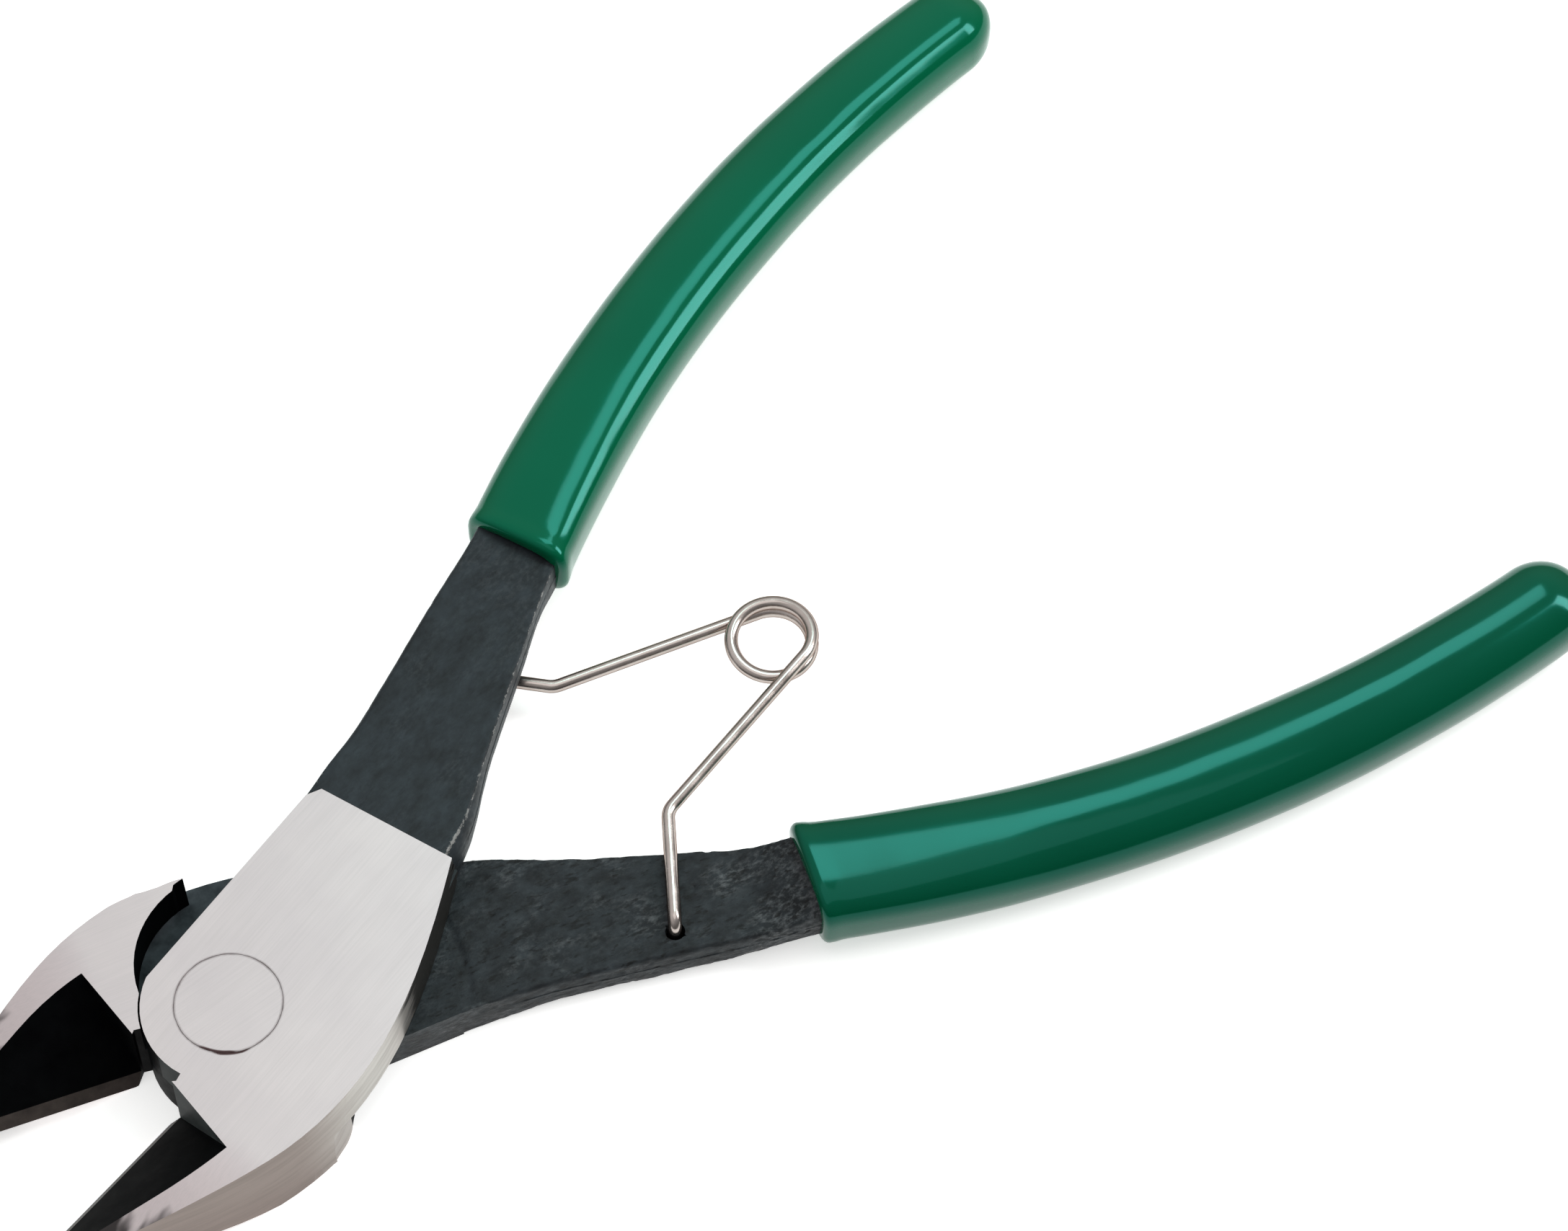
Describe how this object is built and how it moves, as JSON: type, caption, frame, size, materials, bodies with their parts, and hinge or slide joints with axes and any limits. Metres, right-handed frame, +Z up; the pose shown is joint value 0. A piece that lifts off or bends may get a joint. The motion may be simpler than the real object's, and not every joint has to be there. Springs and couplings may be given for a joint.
{
  "type": "diagonal cutting pliers",
  "caption": "Spring-loaded diagonal wire cutter: two forged levers in a lap joint on a flush rivet, with dipped grips and a wire return spring.",
  "frame": {"origin": "on the rivet's axis, at the underside of the head, which is the plane that the tool lies on", "axes": "+Z up along the rivet's axis, +X towards the jaw tips along the line that the open jaws are symmetric about, +Y towards the bottom lever's handle"},
  "size_m": [0.1704, 0.107, 0.01],
  "materials": {
    "ground_steel": "tool steel, faces ground satin bright; the shank behind the head is black oxide",
    "black_steel": "tool steel with the black oxide of forging and hardening; the jaw is ground bright",
    "rivet_steel": "steel, ground flush with the head",
    "green_vinyl": "dipped glossy vinyl",
    "spring_wire": "drawn bright spring wire"
  },
  "bodies": {
    "bottom_lever": {"bottom_lever": "black_steel", "bottom_grip": "green_vinyl", "pivot_rivet": "rivet_steel"},
    "top_lever": {"top_lever": "ground_steel", "top_grip": "green_vinyl"},
    "spring_bottom_leg": {"spring_bottom_leg": "spring_wire", "spring_coil": "spring_wire"},
    "spring_top_leg": {"spring_top_leg": "spring_wire"}
  },
  "joints": [
    {"name": "main_pivot", "type": "hinge", "parent": "bottom_lever", "child": "top_lever", "pos_m": [0, 0, 0.005], "axis": [0, 0, 1], "range_deg": [-28.9, 6], "stiffness_Nm_per_rad": 0.63},
    {"name": "spring_hook", "type": "hinge", "parent": "bottom_lever", "child": "spring_bottom_leg", "pos_m": [-0.041, 0.02, 0.005], "axis": [0, 0, 1], "range_deg": [-34.5, 7.5]},
    {"name": "spring_coil_twist", "type": "hinge", "parent": "spring_bottom_leg", "child": "spring_top_leg", "pos_m": [-0.07, 0, 0.005], "axis": [0, 0, 1], "range_deg": [-8.5, 39.8], "deforming": ["spring_coil"]}
  ],
  "couplings": [
    {"joint": "spring_hook", "follows": "main_pivot", "ratio": 1.183},
    {"joint": "spring_coil_twist", "follows": "main_pivot", "ratio": -1.365}
  ]
}
